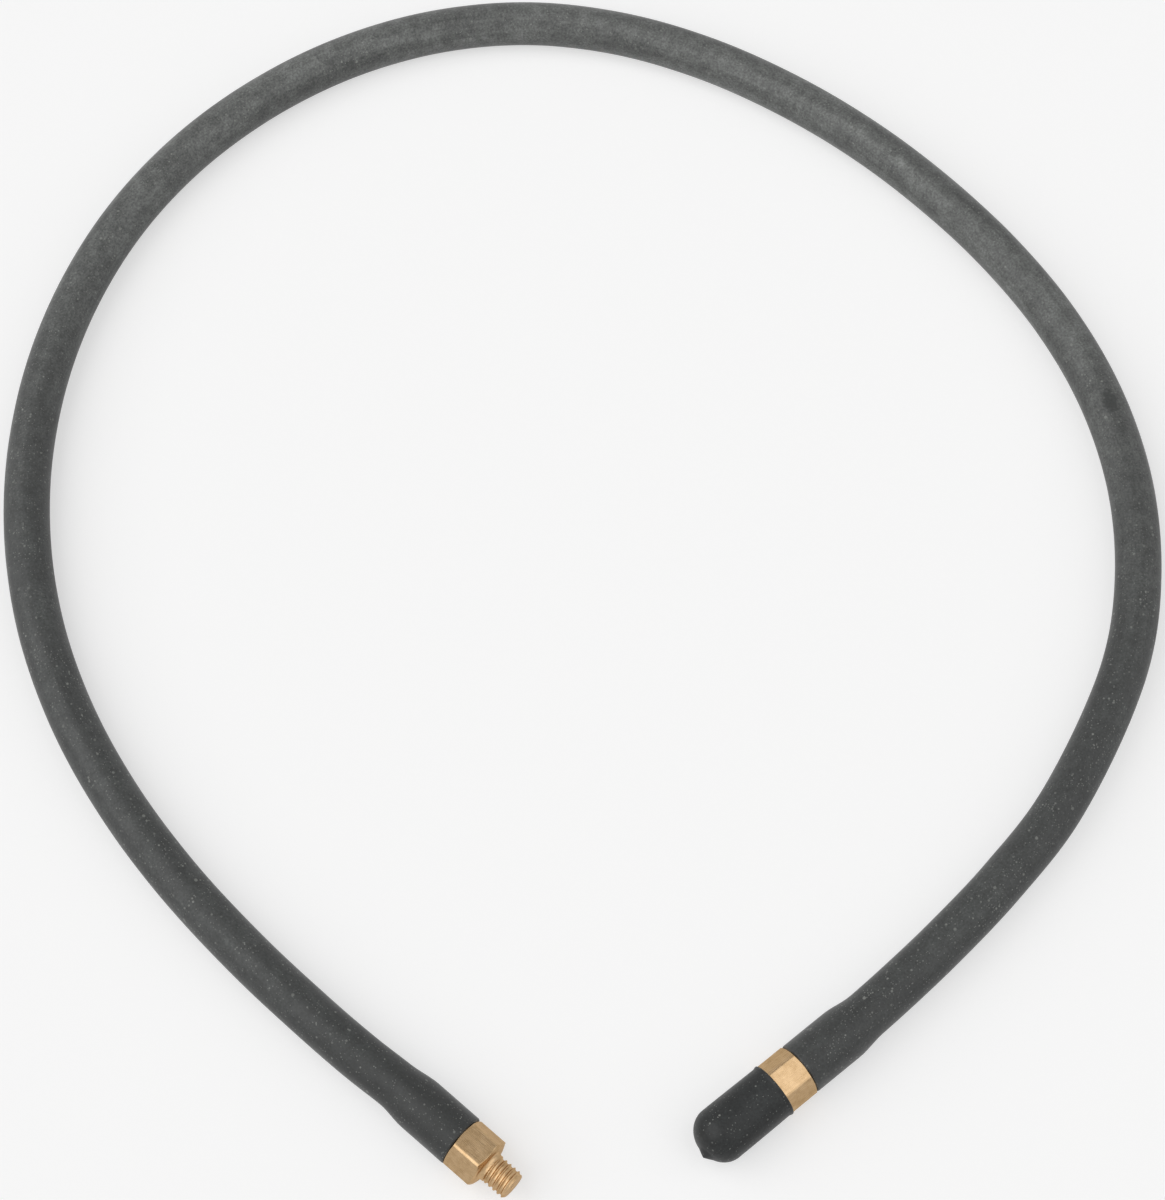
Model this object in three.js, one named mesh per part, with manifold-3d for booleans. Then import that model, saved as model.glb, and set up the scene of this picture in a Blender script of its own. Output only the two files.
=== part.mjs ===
// Short rubber hose with a turned brass thread fitting in each end and a push-on rubber cap over one
// of the threads. It lies on z = 0 in an open loop. Millimetres, +Z up, origin at the centre of the
// footprint. Each end has its own frame: +Z points out of the hose, along the fitting, and +Y is up.
import * as THREE from 'three';
import { mergeVertices } from 'three/addons/utils/BufferGeometryUtils.js';
import Module from 'manifold-3d';

// Clearance between pieces that touch or grip each other on the real object.
const clearance = 0.3;

// Hose: plain tube, swollen at both ends where the barbed tails are pushed in.
const hoseDiameter = 12.7;
const hoseBore = 6.35;
const taperLength = 5.1;
const hoseSides = 12;
const hoseSteps = 60;

// Fittings: one turned piece each, alike at both ends.
const hexAcrossFlats = 12.7;
const hexLength = 9.2;
const hexFaceDiameter = 11.4;
const hexBackDiameter = 12.7;
const hexChamferAngle = 24;
const neckDiameter = 7.9;
const neckLength = 1.4;
const neckFlare = 0.7;
const threadDiameter = 7.94;
const threadPitch = 1.411;
const threadLength = 6.9;
const threadDepthPerPitch = 0.6134;
const threadCrestPerPitch = 0.125;
const threadFlankAngle = 30;
const threadLeadIn = 0.1;
const fittingBore = 2.0;
const tailLength = 15.3;
const tailDiameter = 7.4;
const tailTipDiameter = 6.2;
const barbDiameter = 8.7;
const barbCount = 3;
const inletHexTurn = -7;
const cappedHexTurn = -5;

// Cap: thick rubber, blind bore over the thread, thin lip flared over the hexagon's chamfer.
const capLength = 24.5;
const capMouthDiameter = 14.65;
const capDomeDiameter = 14.9;
const capDomeLength = 6.6;
const capOverlap = 0.63;
const lipWall = 0.15;
const lipLength = 1.4;
const nibDiameter = 5.5;
const nibTipDiameter = 0.6;
const nibHeight = 0.85;
const nibDepth = 0.7;
const nibOffset = 1.8;

// Facets round the turned shapes and along their curves.
const turnedSides = 32;
const threadSides = 20;
const nibSides = 10;
const flareSteps = 6;
const domeSteps = 8;

// How far a cutting or joining shape runs past the surface that it works on.
const runOver = 1;
const runOverTurns = 1;
const sunk = 0.2;

// Radii and heights that follow from the sizes above.
const hoseRadius = hoseDiameter / 2;
const cavityRadius = barbDiameter / 2 + clearance;
const swollenRadius = Math.sqrt(hoseRadius ** 2 - (hoseBore / 2) ** 2 + cavityRadius ** 2);
const hexCornerRadius = hexAcrossFlats / 2 / Math.cos(Math.PI / 6);
const hexFaceRadius = hexFaceDiameter / 2;
const hexBackRadius = hexBackDiameter / 2;
const hexChamferSlope = Math.tan(THREE.MathUtils.degToRad(hexChamferAngle));
const neckRadius = neckDiameter / 2;
const neckEnd = hexLength + neckLength;
const threadEnd = neckEnd + threadLength;
const threadRadius = threadDiameter / 2;
const threadRootRadius = threadRadius - threadDepthPerPitch * threadPitch;
const threadTipRadius = threadRootRadius - threadLeadIn;
const chamferRadiusAtLip = hexFaceRadius + capOverlap / hexChamferSlope;
const lipInnerRadius = Math.min(hexCornerRadius, chamferRadiusAtLip) + clearance;
const lipRadius = lipInnerRadius + lipWall;
const inletHeight = Math.max(swollenRadius, hexReach(inletHexTurn));
const cappedHeight = Math.max(swollenRadius, hexReach(cappedHexTurn), lipRadius, capDomeDiameter / 2);

// Route of the hose's axis, from its end face at the open fitting to the one at the capped fitting:
// [x, y, lift]. Lift 0 lies on the surface, and 1 is held at the height of the fitting at that end.
const route = [
  [-30.2, -165.2, 1], [-37.9, -158.5, 1], [-45.8, -151.7, 1], [-56.4, -143.4, 0.88],
  [-70.3, -131.4, 0.61], [-87.0, -115.8, 0.24], [-105.8, -95.8, 0.02], [-122.5, -74.1, 0],
  [-136.5, -50.4, 0], [-146.8, -25.0, 0], [-152.7, 1.8, 0], [-154.1, 29.1, 0], [-150.9, 56.4, 0],
  [-143.1, 82.7, 0], [-130.8, 107.2, 0], [-114.0, 128.9, 0], [-93.4, 147.0, 0], [-69.8, 161.0, 0],
  [-43.9, 170.0, 0], [-16.7, 173.1, 0], [10.5, 169.8, 0], [36.5, 161.1, 0], [60.8, 148.3, 0],
  [83.2, 132.5, 0], [103.5, 114.0, 0], [121.6, 93.4, 0], [136.7, 70.6, 0], [147.7, 45.4, 0],
  [153.5, 18.6, 0], [153.5, -8.8, 0], [147.8, -35.6, 0], [127.9, -75.2, 0.03], [111.6, -95.7, 0.26],
  [95.8, -112.3, 0.63], [82.5, -124.9, 0.89], [72.3, -133.9, 1], [64.4, -140.3, 1],
  [56.5, -146.7, 1],
];

const rubber = new THREE.MeshStandardMaterial({ color: 0x535654, roughness: 0.75, metalness: 0 });
const capRubber = new THREE.MeshStandardMaterial({ color: 0x3b3e3d, roughness: 0.6, metalness: 0 });
const brass = new THREE.MeshStandardMaterial({ color: 0xb19674, roughness: 0.4, metalness: 1 });

// How far a hexagon turned by some degrees reaches below its axis.
function hexReach(turn) {
  return hexCornerRadius * Math.cos(Math.PI / 6 - Math.abs(THREE.MathUtils.degToRad(turn)));
}

const wasm = await Module();
wasm.setup();

// Closed geometry to a solid: corners are welded, and triangles that closed up on the axis dropped.
function solidOf(geometry) {
  const bare = geometry.clone();
  bare.deleteAttribute('normal');
  bare.deleteAttribute('uv');
  const welded = mergeVertices(bare, 1e-4);
  const index = welded.index.array;
  const kept = [];
  for (let i = 0; i < index.length; i += 3) {
    const [a, b, c] = [index[i], index[i + 1], index[i + 2]];
    if (a !== b && b !== c && c !== a) kept.push(a, b, c);
  }
  const vertProperties = new Float32Array(welded.attributes.position.array);
  return new wasm.Manifold(new wasm.Mesh({ numProp: 3, vertProperties, triVerts: new Uint32Array(kept) }));
}

function meshOf(name, solid, material) {
  const { vertProperties, triVerts } = solid.getMesh();
  const geometry = new THREE.BufferGeometry();
  geometry.setAttribute('position', new THREE.BufferAttribute(vertProperties, 3));
  geometry.setIndex(new THREE.BufferAttribute(triVerts, 1));
  geometry.computeVertexNormals();
  const mesh = new THREE.Mesh(geometry, material);
  mesh.name = name;
  return mesh;
}

// Turned solid about Z from [radius, z] pairs that start and end on the axis.
function turned(profile, sides = turnedSides) {
  const points = profile.map(([radius, z]) => new THREE.Vector2(radius, z));
  return solidOf(new THREE.LatheGeometry(points, sides).rotateX(Math.PI / 2));
}

// Cosine blend from one radius to another over a length, as [radius, z] pairs.
function flare(fromRadius, toRadius, fromZ, toZ) {
  return Array.from({ length: flareSteps + 1 }, (_, i) => {
    const share = (1 - Math.cos((Math.PI * i) / flareSteps)) / 2;
    return [
      THREE.MathUtils.lerp(fromRadius, toRadius, share),
      THREE.MathUtils.lerp(fromZ, toZ, i / flareSteps),
    ];
  });
}

// Regular outline whose flats lie at the given radius, one of them facing +X.
function polygon(flatRadius, sides, turn = Math.PI / sides) {
  const cornerRadius = flatRadius / Math.cos(Math.PI / sides);
  return new THREE.Shape(Array.from({ length: sides }, (_, i) => {
    const angle = turn + (2 * Math.PI * i) / sides;
    return new THREE.Vector2(cornerRadius * Math.cos(angle), cornerRadius * Math.sin(angle));
  }));
}

// ---- Hose ----

// Points of the hose's axis; past each end face it runs on straight by the given length.
function axisPoints(runOn = 0) {
  const middle = route.length / 2;
  const points = route.map(([x, y, lift], i) => {
    const endHeight = i < middle ? inletHeight : cappedHeight;
    return new THREE.Vector3(x, y, THREE.MathUtils.lerp(hoseRadius, endHeight, lift));
  });
  for (const [end, next] of [[points[0], points[1]], [points.at(-1), points.at(-2)]]) {
    end.addScaledVector(end.clone().sub(next).normalize(), runOn);
  }
  return points;
}

function alongAxis(flatRadius, runOn = 0) {
  const path = new THREE.CatmullRomCurve3(axisPoints(runOn), false, 'centripetal');
  const outline = polygon(flatRadius, hoseSides);
  return solidOf(new THREE.ExtrudeGeometry(outline, { steps: hoseSteps, extrudePath: path }));
}

// Frame at one end of the hose, its origin on the hose's end face.
function endFrame(end, next) {
  const frame = new THREE.Group();
  const out = end.clone().sub(next).normalize();
  const up = new THREE.Vector3(0, 0, 1);
  frame.quaternion.setFromRotationMatrix(new THREE.Matrix4().makeBasis(up.clone().cross(out), up, out));
  frame.position.copy(end);
  frame.updateMatrixWorld();
  return frame;
}

// Swollen end of the hose, in its end frame, and the room for the barbed tail inside it.
function swollenEnd() {
  return turned([
    [0, -tailLength - taperLength],
    ...flare(hoseRadius - sunk, swollenRadius, -tailLength - taperLength, -tailLength),
    [swollenRadius, 0],
    [0, 0],
  ]);
}

function tailCavity() {
  return turned([
    [0, -tailLength - taperLength],
    [hoseBore / 2, -tailLength - taperLength],
    [cavityRadius, -tailLength],
    [cavityRadius, runOver],
    [0, runOver],
  ]);
}

function hoseSolid(frames) {
  let solid = alongAxis(hoseRadius);
  for (const frame of frames) {
    solid = solid.add(swollenEnd().transform(frame.matrixWorld.elements));
  }
  solid = solid.subtract(alongAxis(hoseBore / 2, runOver));
  for (const frame of frames) {
    solid = solid.subtract(tailCavity().transform(frame.matrixWorld.elements));
  }
  return solid;
}

// ---- Fittings, with z = 0 on the hexagon's back face ----

// Barbed tail, from its tip up to the hexagon: saw teeth whose steps face the hexagon.
function tailProfile() {
  const shankRadius = tailDiameter / 2;
  const toothLength = tailLength / (barbCount + 0.5);
  const points = [[0, -tailLength], [tailTipDiameter / 2, -tailLength]];
  for (let i = 1; i <= barbCount; i += 1) {
    const z = -tailLength + i * toothLength;
    points.push([barbDiameter / 2, z], [shankRadius, z]);
  }
  return points;
}

// Stem through the whole fitting: tail, neck and thread core.
function stem() {
  const shankRadius = tailDiameter / 2;
  return turned([
    ...tailProfile(),
    [shankRadius, hexLength / 2],
    [neckRadius + neckFlare, hexLength / 2],
    [neckRadius + neckFlare, hexLength],
    [neckRadius, hexLength + neckFlare],
    [neckRadius, neckEnd],
    [threadRootRadius, neckEnd],
    [threadRootRadius, threadEnd - (threadRootRadius - threadTipRadius)],
    [threadTipRadius, threadEnd],
    [0, threadEnd],
  ]);
}

// Hexagonal bar, turned off at both ends to chamfers that cut its corners to arcs.
function hexagon(turn) {
  const outline = polygon(hexAcrossFlats / 2, 6, THREE.MathUtils.degToRad(turn));
  const bar = solidOf(new THREE.ExtrudeGeometry(outline, { depth: hexLength, bevelEnabled: false }));
  const blankRadius = hexCornerRadius + runOver;
  const blank = turned([
    [0, 0],
    [hexBackRadius, 0],
    [blankRadius, (blankRadius - hexBackRadius) * hexChamferSlope],
    [blankRadius, hexLength - (blankRadius - hexFaceRadius) * hexChamferSlope],
    [hexFaceRadius, hexLength],
    [0, hexLength],
  ]);
  return bar.intersect(blank);
}

// One unbroken ridge wound right-handed round the core, a closed band with four-cornered section.
function threadRidge() {
  const flankSlope = Math.tan(THREE.MathUtils.degToRad(threadFlankAngle));
  const crestHalf = (threadCrestPerPitch * threadPitch) / 2;
  const baseHalf = crestHalf + (threadRadius - threadRootRadius + sunk) * flankSlope;
  const section = [
    [threadRootRadius - sunk, -baseHalf], [threadRadius, -crestHalf],
    [threadRadius, crestHalf], [threadRootRadius - sunk, baseHalf],
  ];
  const turns = Math.ceil(threadLength / threadPitch) + 2 * runOverTurns;
  const steps = turns * threadSides;
  const startZ = neckEnd - runOverTurns * threadPitch;
  const positions = [];
  for (let step = 0; step <= steps; step += 1) {
    const angle = (2 * Math.PI * step) / threadSides;
    const z = startZ + (threadPitch * step) / threadSides;
    for (const [radius, dz] of section) {
      positions.push(radius * Math.cos(angle), radius * Math.sin(angle), z + dz);
    }
  }
  const corners = section.length;
  const last = steps * corners;
  const index = [0, 1, 2, 0, 2, 3, last, last + 2, last + 1, last, last + 3, last + 2];
  for (let step = 0; step < steps; step += 1) {
    for (let corner = 0; corner < corners; corner += 1) {
      const a = step * corners + corner;
      const b = step * corners + ((corner + 1) % corners);
      index.push(a, a + corners, b, b, a + corners, b + corners);
    }
  }
  const geometry = new THREE.BufferGeometry();
  geometry.setAttribute('position', new THREE.Float32BufferAttribute(positions, 3));
  geometry.setIndex(index);
  return solidOf(geometry);
}

// The ridge cut to the thread's length, with a 45 degree lead-in at its tip.
function thread() {
  const room = threadRadius + runOver;
  return threadRidge().intersect(turned([
    [0, neckEnd - neckLength / 2],
    [room, neckEnd - neckLength / 2],
    [room, threadEnd - (room - threadTipRadius)],
    [threadTipRadius, threadEnd],
    [0, threadEnd],
  ]));
}

function fittingSolid(hexTurn) {
  const length = tailLength + threadEnd + 2 * runOver;
  const bore = new THREE.CylinderGeometry(fittingBore / 2, fittingBore / 2, length, threadSides);
  bore.rotateX(Math.PI / 2).translate(0, 0, length / 2 - tailLength - runOver);
  return stem().add(hexagon(hexTurn)).add(thread()).subtract(solidOf(bore));
}

// ---- Cap, with z = 0 on the plane of its mouth ----

// Low conical moulding nib on the dome, beside its pole and square to its surface.
function nib() {
  const lean = Math.asin((2 * nibOffset) / capDomeDiameter);
  const rise = capDomeLength * Math.cos(lean);
  const length = nibHeight + nibDepth;
  const cone = new THREE.CylinderGeometry(nibTipDiameter / 2, nibDiameter / 2, length, nibSides);
  cone.rotateX(Math.PI / 2).translate(0, 0, length / 2 - nibDepth);
  cone.rotateY(lean).translate(nibOffset, 0, capLength - capDomeLength + rise);
  return solidOf(cone);
}

function capSolid() {
  const seat = capOverlap + clearance;
  const boreEnd = seat + neckLength + threadLength;
  const boreRadius = Math.max(threadRadius, neckRadius) + clearance;
  const domeRadius = capDomeDiameter / 2;
  const dome = Array.from({ length: domeSteps }, (_, i) => {
    const angle = (Math.PI / 2) * (i / domeSteps);
    return [domeRadius * Math.cos(angle), capLength - capDomeLength * (1 - Math.sin(angle))];
  });
  const body = turned([
    [0, boreEnd],
    [boreRadius, boreEnd],
    [boreRadius, seat + neckFlare],
    [boreRadius + neckFlare, seat],
    [hexFaceRadius + clearance, seat],
    [lipInnerRadius, 0],
    ...flare(lipRadius, capMouthDiameter / 2, 0, lipLength),
    ...dome,
    [0, capLength],
  ]);
  return body.add(nib());
}

// ---- Assembly ----

const axis = axisPoints();
const inletEnd = endFrame(axis[0], axis[1]);
const cappedEnd = endFrame(axis.at(-1), axis.at(-2));

const hoseMesh = meshOf('rubber_hose', hoseSolid([inletEnd, cappedEnd]), rubber);

const inletFitting = meshOf('inlet_fitting', fittingSolid(inletHexTurn), brass);
inletFitting.position.z = clearance;
inletEnd.add(inletFitting);

const cappedFitting = meshOf('capped_fitting', fittingSolid(cappedHexTurn), brass);
cappedFitting.position.z = clearance;
cappedEnd.add(cappedFitting);

const endCap = meshOf('end_cap', capSolid(), capRubber);
endCap.position.z = clearance + hexLength - capOverlap;
cappedEnd.add(endCap);

const group = new THREE.Group();
group.add(hoseMesh, inletEnd, cappedEnd);

export default group;
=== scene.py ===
"""The looks of a short rubber hose with a brass fitting in each end and a rubber cap over one thread.

Everything is in metres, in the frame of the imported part: the hose lies on z = 0. The pieces at each
end are modelled in that end's own frame: +Z points out of the hose, along the fitting, and +Y is up.
"""
import math

import bmesh
import bpy
from mathutils import Matrix, Vector, noise


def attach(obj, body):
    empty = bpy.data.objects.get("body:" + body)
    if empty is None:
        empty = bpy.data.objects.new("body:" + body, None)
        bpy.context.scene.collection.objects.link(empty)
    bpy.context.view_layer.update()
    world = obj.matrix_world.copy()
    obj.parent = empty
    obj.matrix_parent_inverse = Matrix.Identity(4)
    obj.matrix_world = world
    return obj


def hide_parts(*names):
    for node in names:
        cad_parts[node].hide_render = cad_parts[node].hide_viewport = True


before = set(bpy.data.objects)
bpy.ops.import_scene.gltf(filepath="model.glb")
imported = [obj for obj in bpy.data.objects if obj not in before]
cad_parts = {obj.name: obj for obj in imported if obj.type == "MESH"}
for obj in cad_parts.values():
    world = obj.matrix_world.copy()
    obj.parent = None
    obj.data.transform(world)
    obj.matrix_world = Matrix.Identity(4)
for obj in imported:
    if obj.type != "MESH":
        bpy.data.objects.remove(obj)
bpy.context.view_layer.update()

MM = 0.001

# ---- Sizes ----

# The main sizes are those of the part's source. Some small forms follow the photo more closely: the
# taper of the swollen ends, the hexagon's flats and chamfer, the neck's cove, the thread's depth, the
# lip and the nib.

HOSE_RADIUS = 6.35 * MM
BORE_RADIUS = 3.175 * MM
SWOLLEN_RADIUS = 7.202 * MM
CAVITY_RADIUS = 4.4 * MM
SWOLLEN_LENGTH = 13.7 * MM
TAPER_LENGTH = 8.6 * MM

HEX_FLAT = 6.45 * MM
HEX_LENGTH = 9.2 * MM
HEX_EDGE_ROUNDING = 1.2 * MM
HEX_FACE_RADIUS = 5.7 * MM
HEX_BACK_RADIUS = 6.35 * MM
HEX_CHAMFER_SLOPE = math.tan(math.radians(22))
NECK_RADIUS = 3.95 * MM
NECK_FILLET = 1.1 * MM
NECK_LENGTH = 1.4 * MM
THREAD_RADIUS = 3.97 * MM
THREAD_PITCH = 1.411 * MM
THREAD_LENGTH = 6.9 * MM
THREAD_DEPTH = 0.48 * MM
FITTING_BORE_RADIUS = 1.0 * MM
TAIL_LENGTH = 15.3 * MM
SHANK_RADIUS = 3.7 * MM
TAIL_TIP_RADIUS = 3.1 * MM
BARB_RADIUS = 4.35 * MM
BARB_COUNT = 3
INLET_HEX_TURN = math.radians(-7)
CAPPED_HEX_TURN = math.radians(-5)

CAP_LENGTH = 24.5 * MM
CAP_OVERLAP = 0.63 * MM
CAP_MOUTH_RADIUS = 7.33 * MM
CAP_DOME_RADIUS = 7.45 * MM
CAP_DOME_LENGTH = 6.6 * MM
LIP_RADIUS = 7.565 * MM
LIP_LENGTH = 1.15 * MM
NIB_RADIUS = 2.6 * MM
NIB_HEIGHT = 0.95 * MM
NIB_OFFSET = 1.65 * MM

# The solids keep 0.3 mm between pieces that touch. The looks close that gap to a fine line.
SOLID_GAP = 0.3 * MM
FINE_GAP = 0.04 * MM

INLET_HEIGHT = 7.202 * MM
CAPPED_HEIGHT = 7.565 * MM

# Route of the hose's axis from the open fitting to the capped one: x, y and lift. Lift 0 lies on the
# surface, and 1 is held at the height of the fitting at that end.
ROUTE = [
    (-0.0302, -0.1652, 1), (-0.0379, -0.1585, 1), (-0.0458, -0.1517, 1), (-0.0564, -0.1434, 0.88),
    (-0.0703, -0.1314, 0.61), (-0.0870, -0.1158, 0.24), (-0.1058, -0.0958, 0.02), (-0.1225, -0.0741, 0),
    (-0.1365, -0.0504, 0), (-0.1468, -0.0250, 0), (-0.1527, 0.0018, 0), (-0.1541, 0.0291, 0),
    (-0.1509, 0.0564, 0), (-0.1431, 0.0827, 0), (-0.1308, 0.1072, 0), (-0.1140, 0.1289, 0),
    (-0.0934, 0.1470, 0), (-0.0698, 0.1610, 0), (-0.0439, 0.1700, 0), (-0.0167, 0.1731, 0),
    (0.0105, 0.1698, 0), (0.0365, 0.1611, 0), (0.0608, 0.1483, 0), (0.0832, 0.1325, 0),
    (0.1035, 0.1140, 0), (0.1216, 0.0934, 0), (0.1367, 0.0706, 0), (0.1477, 0.0454, 0),
    (0.1535, 0.0186, 0), (0.1535, -0.0088, 0), (0.1478, -0.0356, 0), (0.1279, -0.0752, 0.03),
    (0.1116, -0.0957, 0.26), (0.0958, -0.1123, 0.63), (0.0825, -0.1249, 0.89), (0.0723, -0.1339, 1),
    (0.0644, -0.1403, 1), (0.0565, -0.1467, 1),
]
HOSE_LENGTH = 0.908


# ---- Camera, at the photo's angle ----

def add_camera():
    """Looks along +Y and down, at a point near the middle of the loop."""
    aim = Vector((0.7, -15.64, 6.35)) * MM
    pitch = math.radians(66.5)
    distance = 786.7 * MM
    data = bpy.data.cameras.new("photo_camera")
    data.sensor_width = 36
    data.lens = 86.1
    data.clip_start = 0.01
    camera = bpy.data.objects.new("photo_camera", data)
    camera.location = aim + distance * Vector((0, -math.cos(pitch), math.sin(pitch)))
    camera.rotation_euler = (math.pi / 2 - pitch, 0, 0)
    bpy.context.scene.collection.objects.link(camera)
    bpy.context.scene.camera = camera


# ---- Curves and profiles ----

def smooth(t):
    """0 below 0, 1 above 1 and a smooth step between."""
    t = min(max(t, 0.0), 1.0)
    return t * t * (3 - 2 * t)


def lerp(a, b, t):
    return a + (b - a) * t


def route_points():
    points = []
    for i, (x, y, lift) in enumerate(ROUTE):
        end_height = INLET_HEIGHT if i < len(ROUTE) / 2 else CAPPED_HEIGHT
        points.append(Vector((x, y, lerp(HOSE_RADIUS, end_height, lift))))
    return points


def through(points, steps):
    """Centripetal Catmull-Rom curve through the points, with some steps from each to the next."""
    ends = [2 * points[0] - points[1], 2 * points[-1] - points[-2]]
    padded = [ends[0], *points, ends[1]]
    curve = []
    for p0, p1, p2, p3 in zip(padded, padded[1:], padded[2:], padded[3:]):
        d0, d1, d2 = (math.sqrt((b - a).length) for a, b in ((p0, p1), (p1, p2), (p2, p3)))
        m1 = ((p1 - p0) / d0 - (p2 - p0) / (d0 + d1) + (p2 - p1) / d1) * d1
        m2 = ((p2 - p1) / d1 - (p3 - p1) / (d1 + d2) + (p3 - p2) / d2) * d1
        for step in range(steps):
            t = step / steps
            curve.append(
                p1 + m1 * t + (3 * (p2 - p1) - 2 * m1 - m2) * t**2 + (2 * (p1 - p2) + m1 + m2) * t**3
            )
    return [*curve, points[-1]]


class Track:
    """A curve that is read by the distance along it. It runs on straight past both ends."""

    def __init__(self, points):
        self.points = points
        self.stations = [0.0]
        for a, b in zip(points, points[1:]):
            self.stations.append(self.stations[-1] + (b - a).length)
        self.length = self.stations[-1]

    def at(self, s):
        low, high = 0, len(self.points) - 2
        while low < high:
            middle = (low + high + 1) // 2
            if self.stations[middle] <= s:
                low = middle
            else:
                high = middle - 1
        share = (s - self.stations[low]) / (self.stations[low + 1] - self.stations[low])
        return self.points[low].lerp(self.points[low + 1], share)

    def frame(self, s, reach=1.5 * MM):
        """Place, sideways direction and upward direction of the cross section at s."""
        along = (self.at(s + reach) - self.at(s - reach)).normalized()
        side = along.cross(Vector((0, 0, 1))).normalized()
        return self.at(s), side, side.cross(along)


def end_frame(end, following):
    """Frame at one end of the hose: +Z out of the hose and +Y up."""
    out = (end - following).normalized()
    up = Vector((0, 0, 1))
    turn = Matrix((up.cross(out), up, out)).transposed()
    return Matrix.Translation(end) @ turn.to_4x4()


# ---- Meshes ----

def mesh_object(name, vertices, faces, material):
    mesh = bpy.data.meshes.new(name)
    mesh.from_pydata(vertices, [], faces)
    work = bmesh.new()
    work.from_mesh(mesh)
    bmesh.ops.recalc_face_normals(work, faces=work.faces)
    work.to_mesh(mesh)
    work.free()
    mesh.shade_smooth()
    mesh.materials.append(material)
    piece = bpy.data.objects.new(name, mesh)
    bpy.context.scene.collection.objects.link(piece)
    return piece


def loft(name, rings, material, closed=False):
    """Skin over rings with the same number of points. Closed joins the last ring to the first, and
    otherwise the first and last ring are each drawn in to one point."""
    columns = len(rings[0])
    vertices = [point for ring in rings for point in ring]
    faces = []
    for i in range(len(rings) if closed else len(rings) - 1):
        a, b = i * columns, ((i + 1) % len(rings)) * columns
        for j in range(columns):
            k = (j + 1) % columns
            faces.append((a + j, a + k, b + k, b + j))
    if not closed:
        for ring in (0, len(rings) - 1):
            pole = len(vertices)
            vertices.append(sum((Vector(point) for point in rings[ring]), Vector()) / columns)
            start = ring * columns
            faces += [(start + j, start + (j + 1) % columns, pole) for j in range(columns)]
    return mesh_object(name, vertices, faces, material)


def weight_normals(piece, angle):
    """Edges over the angle stay sharp, and large faces keep flat shading beside rounded edges."""
    piece.data.set_sharp_from_angle(angle=math.radians(angle))
    modifier = piece.modifiers.new("weighted_normals", "WEIGHTED_NORMAL")
    modifier.keep_sharp = True


def put(piece, end, z):
    """Puts a piece into the frame of one end of the hose, at height z there."""
    piece.matrix_world = end @ Matrix.Translation((0, 0, z))


# ---- Hose ----

def swollen(s, length, rest, stretched):
    """A radius of the hose at s, where the barbed tails stretch both ends."""
    from_end = min(s, length - s)
    return lerp(stretched, rest, smooth((from_end - SWOLLEN_LENGTH) / TAPER_LENGTH))


def hose_stations(length):
    """Places along the hose and radii there: out over the skin and back through the bore."""
    spacing = 1.4 * MM
    bore_spacing = 3 * MM
    rounding = 0.4 * MM
    rounding_steps = 5
    first, last = FINE_GAP - SOLID_GAP, length + SOLID_GAP - FINE_GAP
    corner = [math.pi / 2 * step / rounding_steps for step in range(rounding_steps + 1)]
    cut = [(rounding * (1 - math.sin(a)), SWOLLEN_RADIUS - rounding * (1 - math.cos(a))) for a in corner]
    skin = [(first + inset, radius) for inset, radius in reversed(cut)]
    count = round((last - first) / spacing)
    for i in range(1, count):
        s = lerp(first, last, i / count)
        skin.append((s, swollen(s, length, HOSE_RADIUS, SWOLLEN_RADIUS)))
    skin += [(last - inset, radius) for inset, radius in cut]
    count = round((last - first) / bore_spacing)
    bore = []
    for i in range(count + 1):
        s = lerp(last, first, i / count)
        bore.append((s, swollen(s, length, BORE_RADIUS, CAVITY_RADIUS)))
    return skin, bore


def add_hose(track, material):
    """Open tube with its bore and cut ends. Its skin is slightly uneven, as soft rubber is, and each
    point keeps where it would be on the straight hose, for the material."""
    sides = 72
    waver = 0.06 * MM
    waver_scale = 52
    rings, straight = [], []
    skin, bore = hose_stations(track.length)
    for s, radius in skin + bore:
        centre, side, up = track.frame(s)
        ring = []
        for j in range(sides):
            angle = 2 * math.pi * j / sides
            out = side * math.cos(angle) + up * math.sin(angle)
            lump = waver * noise.noise((centre + out * radius) * waver_scale)
            ring.append(centre + out * (radius + min(lump, 0)))
            straight.append((radius * math.cos(angle), radius * math.sin(angle), s))
        rings.append(ring)
    hose = loft("rubber_hose_skin", rings, material, closed=True)
    attribute = hose.data.attributes.new("straight", "FLOAT_VECTOR", "POINT")
    attribute.data.foreach_set("vector", [value for point in straight for value in point])
    weight_normals(hose, angle=50)
    return hose


# ---- Fittings, with z = 0 on the hexagon's back face ----

def hex_columns(turn):
    """Angles round a fitting, closer together at the hexagon's rounded edges, with its radius there."""
    flat_steps = 14
    edge_steps = 6
    inner = HEX_FLAT - HEX_EDGE_ROUNDING
    edge_centre = inner / math.cos(math.pi / 6)
    half_flat = math.atan(inner * math.tan(math.pi / 6) / HEX_FLAT)
    columns = []
    for flat in range(6):
        middle = turn + math.pi / 6 + flat * math.pi / 3
        for step in range(flat_steps):
            off = lerp(-half_flat, half_flat, step / flat_steps)
            columns.append((middle + off, HEX_FLAT / math.cos(off)))
        for step in range(edge_steps):
            off = lerp(half_flat, math.pi / 3 - half_flat, step / edge_steps)
            from_edge = off - math.pi / 6
            across = edge_centre * math.sin(from_edge)
            radius = edge_centre * math.cos(from_edge) + math.sqrt(HEX_EDGE_ROUNDING**2 - across**2)
            columns.append((middle + off, radius))
    return columns


def ring_at(columns, radius, z):
    """Ring of points at height z. The radius is a number or a function of (angle, hexagon radius)."""
    points = []
    for angle, hex_radius in columns:
        r = radius(angle, hex_radius) if callable(radius) else radius
        points.append(Vector((r * math.cos(angle), r * math.sin(angle), z)))
    return points


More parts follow.
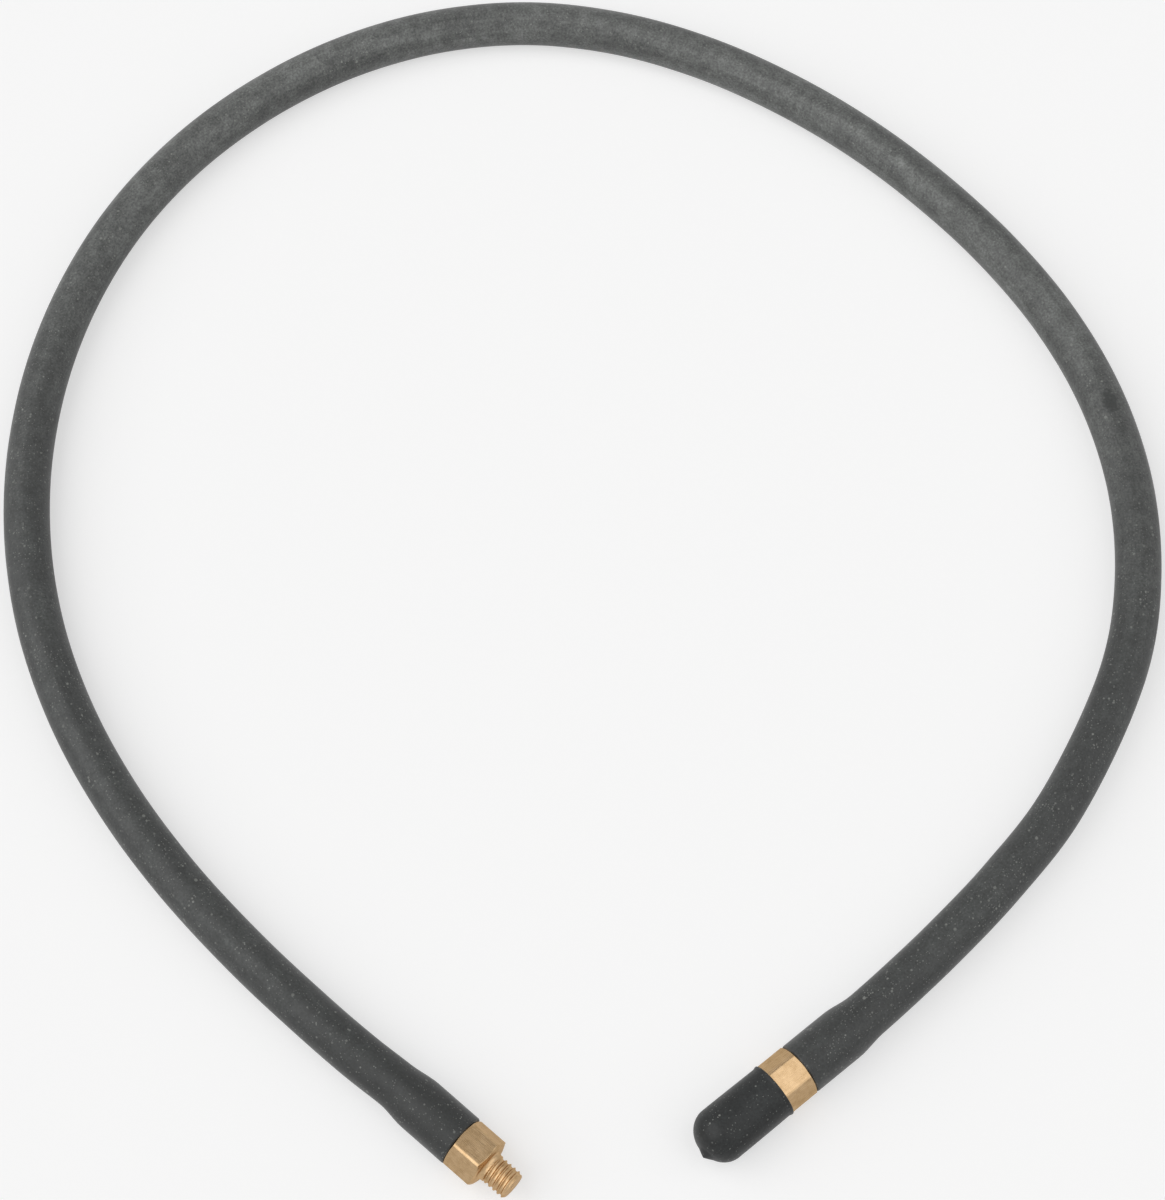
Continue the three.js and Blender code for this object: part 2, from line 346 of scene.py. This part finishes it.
def tail_profile():
    """Barbed tail, from its tip to the hexagon: saw teeth with rounded crests, as (radius, z)."""
    tooth = TAIL_LENGTH / (BARB_COUNT + 0.5)
    crest = 0.1 * MM
    profile = [(FITTING_BORE_RADIUS, -TAIL_LENGTH), (TAIL_TIP_RADIUS - 2 * crest, -TAIL_LENGTH)]
    profile.append((TAIL_TIP_RADIUS, -TAIL_LENGTH + 2 * crest))
    for i in range(1, BARB_COUNT + 1):
        z = -TAIL_LENGTH + i * tooth
        profile += [(BARB_RADIUS - crest, z - 3 * crest), (BARB_RADIUS, z - crest)]
        profile += [(BARB_RADIUS - crest, z), (SHANK_RADIUS, z + crest)]
    return [*profile, (SHANK_RADIUS, 0)]


def hexagon_rings(columns):
    """Hexagon with a turned chamfer at each end, which cuts its corners to arcs."""
    chamfer_reach = 1.0 * MM
    chamfer_steps = 22
    blend = 0.1 * MM
    rings = []
    for end in (0, 1):
        for step in range(chamfer_steps + 1):
            from_back = chamfer_reach * step / chamfer_steps
            z = from_back if end == 0 else HEX_LENGTH - chamfer_reach + from_back
            from_face = z if end == 0 else HEX_LENGTH - z
            limit = (HEX_BACK_RADIUS, HEX_FACE_RADIUS)[end] + from_face / HEX_CHAMFER_SLOPE
            rings.append(
                ring_at(columns, lambda _, hex_radius, limit=limit: soft_min(hex_radius, limit, blend), z)
            )
    return rings


def soft_min(a, b, blend):
    """The smaller of two values, rounded over where they are about the same."""
    share = max(blend - abs(a - b), 0) / blend
    return min(a, b) - share**2 * blend / 4


def neck_profile():
    """Front face, cove and neck, as (radius, z)."""
    cove_steps = 6
    profile = []
    for step in range(cove_steps + 1):
        angle = math.pi / 2 * step / cove_steps
        radius = NECK_RADIUS + NECK_FILLET * (1 - math.sin(angle))
        profile.append((radius, HEX_LENGTH + NECK_FILLET * (1 - math.cos(angle))))
    return profile


def thread_radius(angle, z):
    """Right-handed 60 degree thread with flat crests and rounded roots, running out into the neck and
    led in at the tip."""
    crest_rounding = 0.1 * MM
    root_rounding = 0.42 * MM
    run_out_slope = 1.3
    tip_drop = 0.1 * MM
    neck_end = HEX_LENGTH + NECK_LENGTH
    thread_end = neck_end + THREAD_LENGTH
    root = THREAD_RADIUS - THREAD_DEPTH
    turn = (z - neck_end) / THREAD_PITCH - angle / (2 * math.pi)
    from_crest = abs(turn - round(turn)) * THREAD_PITCH
    flank = THREAD_RADIUS - (from_crest - THREAD_PITCH / 16) / math.tan(math.pi / 6)
    radius = soft_min(THREAD_RADIUS, flank, crest_rounding)
    radius = -soft_min(-radius, -root, root_rounding)
    radius = max(radius, NECK_RADIUS - run_out_slope * (z - neck_end))
    return min(radius, root - tip_drop + (thread_end - z))


def thread_rings(columns):
    rows_per_pitch = 18
    neck_end = HEX_LENGTH + NECK_LENGTH
    count = round(THREAD_LENGTH / THREAD_PITCH * rows_per_pitch)
    rings = []
    for i in range(count + 1):
        z = neck_end + THREAD_LENGTH * i / count
        rings.append(ring_at(columns, lambda angle, _, z=z: thread_radius(angle, z), z))
    return rings


def bore_profile():
    """End face, countersink and bore, back to the tip of the tail, as (radius, z)."""
    end = HEX_LENGTH + NECK_LENGTH + THREAD_LENGTH
    countersink = 0.3 * MM
    bore_steps = 4
    profile = [(FITTING_BORE_RADIUS + countersink, end), (FITTING_BORE_RADIUS, end - countersink)]
    for step in range(1, bore_steps):
        profile.append((FITTING_BORE_RADIUS, lerp(end - countersink, -TAIL_LENGTH, step / bore_steps)))
    return profile


def add_fitting(name, turn, material):
    """One turned piece: barbed tail, hexagon, neck, male thread and a bore through it all."""
    columns = hex_columns(turn)
    rings = [ring_at(columns, radius, z) for radius, z in tail_profile()]
    rings += hexagon_rings(columns)
    rings += [ring_at(columns, radius, z) for radius, z in neck_profile()]
    rings += thread_rings(columns)
    rings += [ring_at(columns, radius, z) for radius, z in bore_profile()]
    fitting = loft(name, rings, material, closed=True)
    weight_normals(fitting, angle=35)
    return fitting


# ---- Cap, with z = 0 on the plane of its mouth ----

def cap_profile():
    """From the blind end of the bore out over the mouth and back along the outside, as (radius, z)."""
    seat = CAP_OVERLAP + FINE_GAP
    bore_radius = THREAD_RADIUS + FINE_GAP
    bore_end = seat + NECK_LENGTH + THREAD_LENGTH + SOLID_GAP
    rim = 0.18 * MM
    rim_steps = 6
    lip_steps = 10
    body_steps = 24
    dome_steps = 64
    profile = [
        (bore_radius, bore_end),
        (bore_radius, seat + NECK_FILLET),
        (bore_radius + NECK_FILLET, seat),
        (HEX_FACE_RADIUS, seat),
    ]
    for step in range(rim_steps + 1):
        angle = math.pi * step / rim_steps
        profile.append((LIP_RADIUS - rim * (1 + math.cos(angle)), rim * (1 - math.sin(angle))))
    for step in range(1, lip_steps + 1):
        share = step / lip_steps
        radius = lerp(LIP_RADIUS, CAP_MOUTH_RADIUS, smooth(share))
        profile.append((radius, lerp(rim, LIP_LENGTH, share)))
    dome_start = CAP_LENGTH - CAP_DOME_LENGTH
    for step in range(1, body_steps):
        share = step / body_steps
        radius = lerp(CAP_MOUTH_RADIUS, CAP_DOME_RADIUS, math.sin(math.pi / 2 * share))
        profile.append((radius, lerp(LIP_LENGTH, dome_start, share)))
    for step in range(dome_steps):
        angle = math.pi / 2 * step / dome_steps
        profile.append((CAP_DOME_RADIUS * math.cos(angle), dome_start + CAP_DOME_LENGTH * math.sin(angle)))
    return profile


def with_nib(point):
    """Lifts the dome's skin to a low pointed moulding nib beside the pole."""
    sharpness = 1.35
    if point.z < CAP_LENGTH - CAP_DOME_LENGTH:
        return point
    across = math.hypot(point.x - NIB_OFFSET, point.y)
    height = NIB_HEIGHT * max(1 - across / NIB_RADIUS, 0) ** sharpness
    outward = Vector((point.x, point.y, point.z - CAP_LENGTH + CAP_DOME_RADIUS)).normalized()
    return point + outward * height


def add_cap(material):
    """Thick rubber cap with a blind bore, a thin flared lip, a domed end and a nib."""
    sides = 96
    columns = [(2 * math.pi * j / sides, 0) for j in range(sides)]
    rings = [[with_nib(p) for p in ring_at(columns, radius, z)] for radius, z in cap_profile()]
    cap = loft("end_cap_skin", rings, material)
    weight_normals(cap, angle=50)
    return cap


# ---- Materials ----

class Nodes:
    """The shader nodes of a material or of the world, with short names for the kinds in use. A value
    is a node's output or a fixed number, colour or vector."""

    def __init__(self, owner, shader="ShaderNodeBsdfPrincipled", output="ShaderNodeOutputMaterial"):
        owner.use_nodes = True
        self.tree = owner.node_tree
        self.tree.nodes.clear()
        self.shader = self.add(shader)
        self.feed(self.shader.outputs[0], self.add(output).inputs["Surface"])

    def add(self, kind, **settings):
        node = self.tree.nodes.new(kind)
        for key, value in settings.items():
            setattr(node, key, value)
        return node

    def feed(self, value, target):
        if isinstance(value, bpy.types.NodeSocket):
            self.tree.links.new(value, target)
        else:
            target.default_value = value

    def shade(self, **values):
        """Gives values to the shader's inputs."""
        for key, value in values.items():
            self.feed(value, self.shader.inputs[key.replace("_", " ")])

    def coordinates(self, attribute=None, stretch=(1, 1, 1)):
        """Place on the piece, stretched along its axes, or a place that the piece's points keep."""
        if attribute:
            place = self.add("ShaderNodeAttribute", attribute_name=attribute).outputs["Vector"]
        else:
            place = self.add("ShaderNodeTexCoord").outputs["Object"]
        mapping = self.add("ShaderNodeMapping")
        self.feed(stretch, mapping.inputs["Scale"])
        self.feed(place, mapping.inputs["Vector"])
        return mapping.outputs["Vector"]

    def noise(self, place, size, detail=3):
        """Noise from 0 to 1 whose features are about the given size across."""
        node = self.add("ShaderNodeTexNoise")
        self.feed(1 / size, node.inputs["Scale"])
        self.feed(detail, node.inputs["Detail"])
        self.feed(place, node.inputs["Vector"])
        return node.outputs["Fac"]

    def ramp(self, value, low, high, to_low=0, to_high=1, interpolation="LINEAR"):
        node = self.add("ShaderNodeMapRange", clamp=True, interpolation_type=interpolation)
        ends = {"From Min": low, "From Max": high, "To Min": to_low, "To Max": to_high}
        for name, number in ends.items():
            self.feed(number, node.inputs[name])
        self.feed(value, node.inputs["Value"])
        return node.outputs["Result"]

    def swing(self, noise, to_low, to_high):
        """Noise, which lies from 0.3 to 0.7 nearly everywhere, stretched to the given ends."""
        return self.ramp(noise, 0.3, 0.7, to_low, to_high)

    def maths(self, operation, *values):
        node = self.add("ShaderNodeMath", operation=operation)
        for value, target in zip(values, node.inputs):
            self.feed(value, target)
        return node.outputs["Value"]

    def vector(self, operation, *values):
        """Vector maths, whose result is a number for a length and a dot product."""
        node = self.add("ShaderNodeVectorMath", operation=operation)
        for value, target in zip(values, node.inputs):
            self.feed(value, target)
        return node.outputs["Value" if operation in ("LENGTH", "DOT_PRODUCT") else "Vector"]

    def mix(self, share, a, b, kind="RGBA"):
        """From a to b, which are colours, or numbers where the kind is VALUE."""
        node = self.add("ShaderNodeMix", data_type="FLOAT" if kind == "VALUE" else kind)
        self.feed(share, node.inputs["Factor"])
        for value, name in ((a, "A"), (b, "B")):
            self.feed(value, next(i for i in node.inputs if i.name == name and i.type == kind))
        return next(o for o in node.outputs if o.type == kind)

    def scaled(self, colour, factor):
        """The colour made lighter or darker by a factor."""
        node = self.add("ShaderNodeVectorMath", operation="SCALE")
        self.feed(colour, node.inputs[0])
        self.feed(factor, node.inputs["Scale"])
        return node.outputs["Vector"]

    def flecks(self, place, cell, size, share):
        """Small spots in some share of the cells, each with its own size, from 0 to 1."""
        smallest = 0.35
        soft_edge = 1 / 3
        node = self.add("ShaderNodeTexVoronoi")
        self.feed(1 / cell, node.inputs["Scale"])
        self.feed(place, node.inputs["Vector"])
        split = self.add("ShaderNodeSeparateColor")
        self.feed(node.outputs["Color"], split.inputs["Color"])
        lot = split.outputs["Red"]
        chosen = self.ramp(lot, 1 - share, 1, smallest, 1)
        present = self.maths("GREATER_THAN", lot, 1 - share)
        reach = self.maths("MULTIPLY", chosen, size / cell)
        near = self.maths("SUBTRACT", reach, node.outputs["Distance"])
        return self.maths("MULTIPLY", self.ramp(near, 0, size / cell * soft_edge), present)

    def hairs(self, place, bend, width, share):
        """Short curved lines: some stretches of the contour where a noise is at its middle value."""
        stretch_length = 0.6 * bend
        fade = 0.03
        contour = self.maths("ABSOLUTE", self.maths("SUBTRACT", self.noise(place, bend, 1), 0.5))
        line = self.ramp(contour, 0, width / bend, 1, 0)
        kept = self.ramp(self.noise(place, stretch_length, 0), 1 - share, 1 - share + fade)
        return self.maths("MULTIPLY", line, kept)

    def patch(self, place, centre, reach, raggedness):
        """1 at a centre, fading to 0 at about the given reach along each axis, with a ragged edge."""
        full, gone = 0.6, 0.95
        ragged_size = 1.1 * MM
        offset = self.vector("SUBTRACT", place, centre)
        distance = self.vector("LENGTH", self.vector("DIVIDE", offset, reach))
        ragged = self.swing(self.noise(place, ragged_size, 2), -raggedness, raggedness)
        return self.ramp(self.maths("ADD", distance, ragged), full, gone, 1, 0)

    def bump(self, height, distance):
        node = self.add("ShaderNodeBump")
        self.feed(distance, node.inputs["Distance"])
        self.feed(height, node.inputs["Height"])
        return node.outputs["Normal"]


def srgb(red, green, blue):
    """Linear colour of an sRGB colour given from 0 to 255."""
    def linear(value):
        value /= 255
        return value / 12.92 if value <= 0.04045 else ((value + 0.055) / 1.055) ** 2.4
    return (linear(red), linear(green), linear(blue), 1.0)


DUST = srgb(150, 152, 147)
# Darker rubber near both ends of the hose.
DARKER_END_RUBBER = srgb(30, 32, 31)
STREAK = srgb(38, 40, 39)
SCUFF = srgb(40, 42, 41)
BRASS = srgb(192, 163, 126)
DULL_BRASS = srgb(172, 143, 106)
STAINED_BRASS = srgb(126, 100, 69)
BRASS_IN_MARKS = srgb(135, 109, 76)
BRASS_AT_EDGES = srgb(246, 230, 208)


def aged_rubber(nodes, place, bands, colour, dust_share, hair_share):
    """Finishes a rubber: mottling, bands, grain, pale dust and a few short hairs. Gives the colour,
    the relief and how dull each place is."""
    dull_size = 10 * MM
    dull_level, glossy_level = 1.12, 0.9
    blotch_size, blotch_change = 3.4 * MM, 0.28
    grain_size, grain_change = 0.62 * MM, 0.38
    band_change = 0.26
    speck_spacings_and_sizes = ((3.0 * MM, 0.58 * MM), (1.35 * MM, 0.38 * MM), (0.65 * MM, 0.22 * MM))
    hair_bend, hair_width = 2.5 * MM, 0.04 * MM
    dusty_size = 8 * MM
    least_dust = 0.25
    dust_strength = 0.8
    dust_relief = 0.5
    relief = 0.03 * MM
    dull = nodes.ramp(nodes.noise(place, dull_size), 0.35, 0.65)
    blotches = nodes.noise(place, blotch_size)
    grain = nodes.noise(place, grain_size, 2)
    level = nodes.ramp(dull, 0, 1, glossy_level, dull_level)
    for value, change in ((blotches, blotch_change), (grain, grain_change), (bands, band_change)):
        level = nodes.maths("MULTIPLY", level, nodes.swing(value, 1 - change, 1 + change))
    colour = nodes.scaled(colour, level)
    dust = nodes.hairs(place, hair_bend, hair_width, hair_share)
    for spacing, size in speck_spacings_and_sizes:
        dust = nodes.maths("MAXIMUM", dust, nodes.flecks(place, spacing, size, dust_share))
    dusty = nodes.ramp(nodes.noise(place, dusty_size, 2), 0.35, 0.7, least_dust, 1)
    dust = nodes.maths("MULTIPLY", dust, dusty)
    colour = nodes.mix(nodes.maths("MULTIPLY", dust, dust_strength), colour, DUST)
    height = nodes.maths("ADD", grain, nodes.maths("MULTIPLY", dust, dust_relief))
    return colour, nodes.bump(height, relief), dull


def hose_rubber_material():
    """Extruded black rubber, matte, lighter grey over the middle of its length and darker near both ends.
    Its place is where each point would be on the straight hose, and stations are distances along it."""
    bare = srgb(59, 61, 60)
    # Lighter grey than the bare rubber, over the middle of the hose's length.
    lighter_grey = srgb(105, 107, 105)
    lightening_rises = (0.215, 0.345)
    lightening_falls = (0.635, 0.767)
    lightening_patch_size = 28 * MM
    least_lightening = 0.85
    # Stretches that are darker near each end of the hose.
    darker_near_inlet = (0.014, 0.075)
    darker_near_cap = (HOSE_LENGTH - 0.057, HOSE_LENGTH - 0.014)
    most_darkening_near_cap = 0.4
    streak_size, streak_strength = 1.6 * MM, 0.22
    along_streaks = (1, 1, 0.035)
    band_size = 5 * MM
    along_bands = (1, 1, 0.12)
    scuff_angle = math.radians(90.5)
    scuff_station = 0.6826
    scuff_reach = (3.0 * MM, 3.0 * MM, 4.3 * MM)
    scuff_strength = 0.8
    material = bpy.data.materials.new("hose_rubber")
    nodes = Nodes(material)
    place = nodes.coordinates("straight")
    split = nodes.add("ShaderNodeSeparateXYZ")
    nodes.feed(place, split.inputs["Vector"])
    station = split.outputs["Z"]
    # Lighter grey over the middle of the length, in patches.
    rise = nodes.ramp(station, *lightening_rises)
    lightening = nodes.maths("MULTIPLY", rise, nodes.ramp(station, *lightening_falls, 1, 0))
    lightening_patches = nodes.ramp(nodes.noise(place, lightening_patch_size, 2), 0.2, 0.5, least_lightening, 1)
    colour = nodes.mix(nodes.maths("MULTIPLY", lightening, lightening_patches), bare, lighter_grey)
    # Darker near both ends.
    near_inlet = nodes.ramp(station, *darker_near_inlet, 1, 0)
    near_cap = nodes.ramp(station, *darker_near_cap, 0, most_darkening_near_cap)
    colour = nodes.mix(nodes.maths("MAXIMUM", near_inlet, near_cap), colour, DARKER_END_RUBBER)
    streaks = nodes.noise(nodes.coordinates("straight", along_streaks), streak_size, 2)
    colour = nodes.mix(nodes.ramp(streaks, 0.35, 0.65, streak_strength, 0), colour, STREAK)
    bands = nodes.noise(nodes.coordinates("straight", along_bands), band_size, 2)
    colour, normal, dull = aged_rubber(nodes, place, bands, colour, dust_share=0.62, hair_share=0.22)
    centre = (HOSE_RADIUS * math.cos(scuff_angle), HOSE_RADIUS * math.sin(scuff_angle), scuff_station)
    scuff = nodes.patch(place, centre, scuff_reach, raggedness=0.2)
    colour = nodes.mix(nodes.maths("MULTIPLY", scuff, scuff_strength), colour, SCUFF)
    nodes.shade(Base_Color=colour, Normal=normal, Roughness=nodes.ramp(dull, 0, 1, 0.48, 0.6))
    nodes.shade(Sheen_Weight=0.24, Sheen_Roughness=0.5, Specular_IOR_Level=0.5)
    return material


def cap_rubber_material():
    """Moulded black rubber, darker and a little smoother than the hose."""
    bare = srgb(36, 38, 38)
    band_size = 5 * MM
    along_bands = (1, 1, 0.4)
    material = bpy.data.materials.new("cap_rubber")
    nodes = Nodes(material)
    place = nodes.coordinates()
    bands = nodes.noise(nodes.coordinates(stretch=along_bands), band_size, 2)
    colour, normal, dull = aged_rubber(nodes, place, bands, bare[:3], dust_share=0.36, hair_share=0.15)
    nodes.shade(Base_Color=colour, Normal=normal, Roughness=nodes.ramp(dull, 0, 1, 0.42, 0.52))
    nodes.shade(Sheen_Weight=0.06, Sheen_Roughness=0.5, Specular_IOR_Level=0.34)
    return material


def brass_material():
    """Satin brass. The flats keep the lines of the drawn bar, and the rest is lighter and duller, with
    fine turning marks."""
    tarnish_size = 1.8 * MM
    stain_size, stain_strength = 0.57 * MM, 0.4
    flats_begin = (6.1 * MM, 6.3 * MM)
    turning_size, round_the_axis = 0.14 * MM, (0.15, 0.15, 1)
    drawing_size, along_the_bar = 0.18 * MM, (1, 1, 0.04)
    mark_strength = 0.2
    turned_lightness = 1.13
    relief = 0.012 * MM
    material = bpy.data.materials.new("brass")
    nodes = Nodes(material)
    place = nodes.coordinates()
    tarnish = nodes.noise(place, tarnish_size, 4)
    colour = nodes.mix(nodes.ramp(tarnish, 0.35, 0.7), BRASS, DULL_BRASS)
    stains = nodes.ramp(nodes.noise(place, stain_size, 2), 0.6, 0.8, 0, stain_strength)
    colour = nodes.mix(stains, colour, STAINED_BRASS)
    from_axis = nodes.vector("LENGTH", nodes.coordinates(stretch=(1, 1, 0)))
    on_flats = nodes.ramp(from_axis, *flats_begin)
    turned = nodes.noise(nodes.coordinates(stretch=round_the_axis), turning_size, 2)
    drawn = nodes.noise(nodes.coordinates(stretch=along_the_bar), drawing_size, 2)
    marks = nodes.mix(on_flats, turned, drawn, "VALUE")
    colour = nodes.mix(nodes.ramp(marks, 0.3, 0.5, mark_strength, 0), colour, BRASS_IN_MARKS)
    colour = nodes.scaled(colour, nodes.ramp(on_flats, 0, 1, turned_lightness, 1))
    glossy = nodes.swing(marks, 0.22, 0.32)
    satin = nodes.swing(marks, 0.34, 0.44)
    nodes.shade(Base_Color=colour, Roughness=nodes.mix(on_flats, satin, glossy, "VALUE"))
    nodes.shade(Normal=nodes.bump(marks, relief), Metallic=1, Specular_Tint=BRASS_AT_EDGES)
    return material


# ---- Floor and light ----

# Square soft lamps, aimed at the middle of the loop: place, size and power.
LAMPS = {
    "left_softbox": ((-0.78, -0.15, 0.91), 1.5, 9.7),
    "top_softbox": ((0.275, -0.06, 1.17), 0.44, 0.63),
    "right_softbox": ((0.8, -0.25, 0.85), 1.2, 2.8),
}


def seen_directly(nodes):
    """1 on rays from the camera and on mirror-like or clear rays, which see the pale background."""
    path = nodes.add("ShaderNodeLightPath")
    mirrored = nodes.maths("MAXIMUM", path.outputs["Is Camera Ray"], path.outputs["Is Glossy Ray"])
    return nodes.maths("MAXIMUM", mirrored, path.outputs["Is Transmission Ray"])


def lamp_share(nodes, place, lamp, size, power):
    """About what a square lamp aimed at the origin adds to a white floor at a place. Each quarter of
    the lamp counts as a point, softened near it."""
    aim = -lamp.normalized()
    side = aim.cross(Vector((0, 0, 1))).normalized()
    top = side.cross(aim)
    softening = 0.15 * (size / 2) ** 2
    total = 0.0
    for across, upward in ((-1, -1), (1, -1), (-1, 1), (1, 1)):
        middle = lamp + size / 4 * (across * side + upward * top)
        offset = nodes.vector("SUBTRACT", place, middle)
        square = nodes.vector("DOT_PRODUCT", offset, offset)
        ahead = nodes.maths("MAXIMUM", nodes.vector("DOT_PRODUCT", offset, aim), 0)
        spread = nodes.maths("MULTIPLY", square, nodes.maths("ADD", square, softening))
        quarter = nodes.maths("MULTIPLY", ahead, middle.z * power / 4 / math.pi**2)
        total = nodes.maths("ADD", nodes.maths("DIVIDE", quarter, spread), total)
    return total


def add_floor():
    """Pale floor that keeps the shadow. What is seen of it is lifted to one even level near white, of
    which the world's light gives a part and each lamp another."""
    reach = 3.0
    below = 0.05 * MM
    shade = 0.55
    level = 0.925
    from_world = 0.107
    mesh = bpy.data.meshes.new("floor")
    corners = [(-reach, -reach), (reach, -reach), (reach, reach), (-reach, reach)]
    mesh.from_pydata([(x, y, -below) for x, y in corners], [], [(0, 1, 2, 3)])
    floor = bpy.data.objects.new("floor", mesh)
    bpy.context.scene.collection.objects.link(floor)
    material = bpy.data.materials.new("floor")
    nodes = Nodes(material)
    place = nodes.coordinates()
    lift = level - from_world
    for lamp, size, power in LAMPS.values():
        share = lamp_share(nodes, place, Vector(lamp), size, power)
        lift = nodes.maths("SUBTRACT", lift, nodes.maths("MULTIPLY", share, shade))
    lift = nodes.maths("MULTIPLY", nodes.maths("MAXIMUM", lift, 0), seen_directly(nodes))
    nodes.shade(Base_Color=(shade, shade, shade, 1), Roughness=1, Specular_IOR_Level=0)
    nodes.shade(Emission_Color=(1, 1, 1, 1), Emission_Strength=lift)
    mesh.materials.append(material)


def add_world():
    """Even grey light all round, and a pale background where it is seen directly. Both are dimmer
    round one high direction at the back, which the open fitting's upper flat mirrors."""
    light_level = 0.21
    seen_level = 0.9
    dark_part = Vector((0, 0.6, 0.8))
    dark_level = 0.58
    dark_from, dark_full = 0.92, 0.97
    world = bpy.data.worlds.new("studio")
    bpy.context.scene.world = world
    nodes = Nodes(world, "ShaderNodeBackground", "ShaderNodeOutputWorld")
    strength = nodes.ramp(seen_directly(nodes), 0, 1, light_level, seen_level)
    direction = nodes.add("ShaderNodeTexCoord").outputs["Generated"]
    facing = nodes.vector("DOT_PRODUCT", direction, dark_part)
    dimming = nodes.ramp(facing, dark_from, dark_full, 1, dark_level, "SMOOTHSTEP")
    nodes.shade(Color=(1, 1, 1, 1), Strength=nodes.maths("MULTIPLY", strength, dimming))


def add_lamp(name, place, size, power):
    """Square soft lamp aimed at the middle of the loop."""
    data = bpy.data.lights.new(name, "AREA")
    data.size = size
    data.energy = power
    lamp = bpy.data.objects.new(name, data)
    lamp.location = place
    lamp.rotation_euler = (-Vector(place)).to_track_quat("-Z", "Y").to_euler()
    bpy.context.scene.collection.objects.link(lamp)


# ---- Scene ----

def dress(piece, body, node):
    """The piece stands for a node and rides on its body."""
    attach(piece, body)
    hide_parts(node)


add_camera()

hose_rubber = hose_rubber_material()
cap_rubber = cap_rubber_material()
brass = brass_material()

axis = route_points()
inlet_end = end_frame(axis[0], axis[1])
capped_end = end_frame(axis[-1], axis[-2])
track = Track(through(axis, steps=24))

hose = add_hose(track, hose_rubber)
inlet_fitting = add_fitting("inlet_fitting_turned", INLET_HEX_TURN, brass)
put(inlet_fitting, inlet_end, SOLID_GAP)
capped_fitting = add_fitting("capped_fitting_turned", CAPPED_HEX_TURN, brass)
put(capped_fitting, capped_end, SOLID_GAP)
cap = add_cap(cap_rubber)
put(cap, capped_end, SOLID_GAP + HEX_LENGTH - CAP_OVERLAP)

dress(hose, "hose_line", "rubber_hose")
dress(inlet_fitting, "hose_line", "inlet_fitting")
dress(capped_fitting, "hose_line", "capped_fitting")
dress(cap, "cap", "end_cap")

add_floor()
add_world()
for name, (lamp_place, size, power) in LAMPS.items():
    add_lamp(name, lamp_place, size, power)

bpy.context.scene.view_settings.view_transform = "Standard"
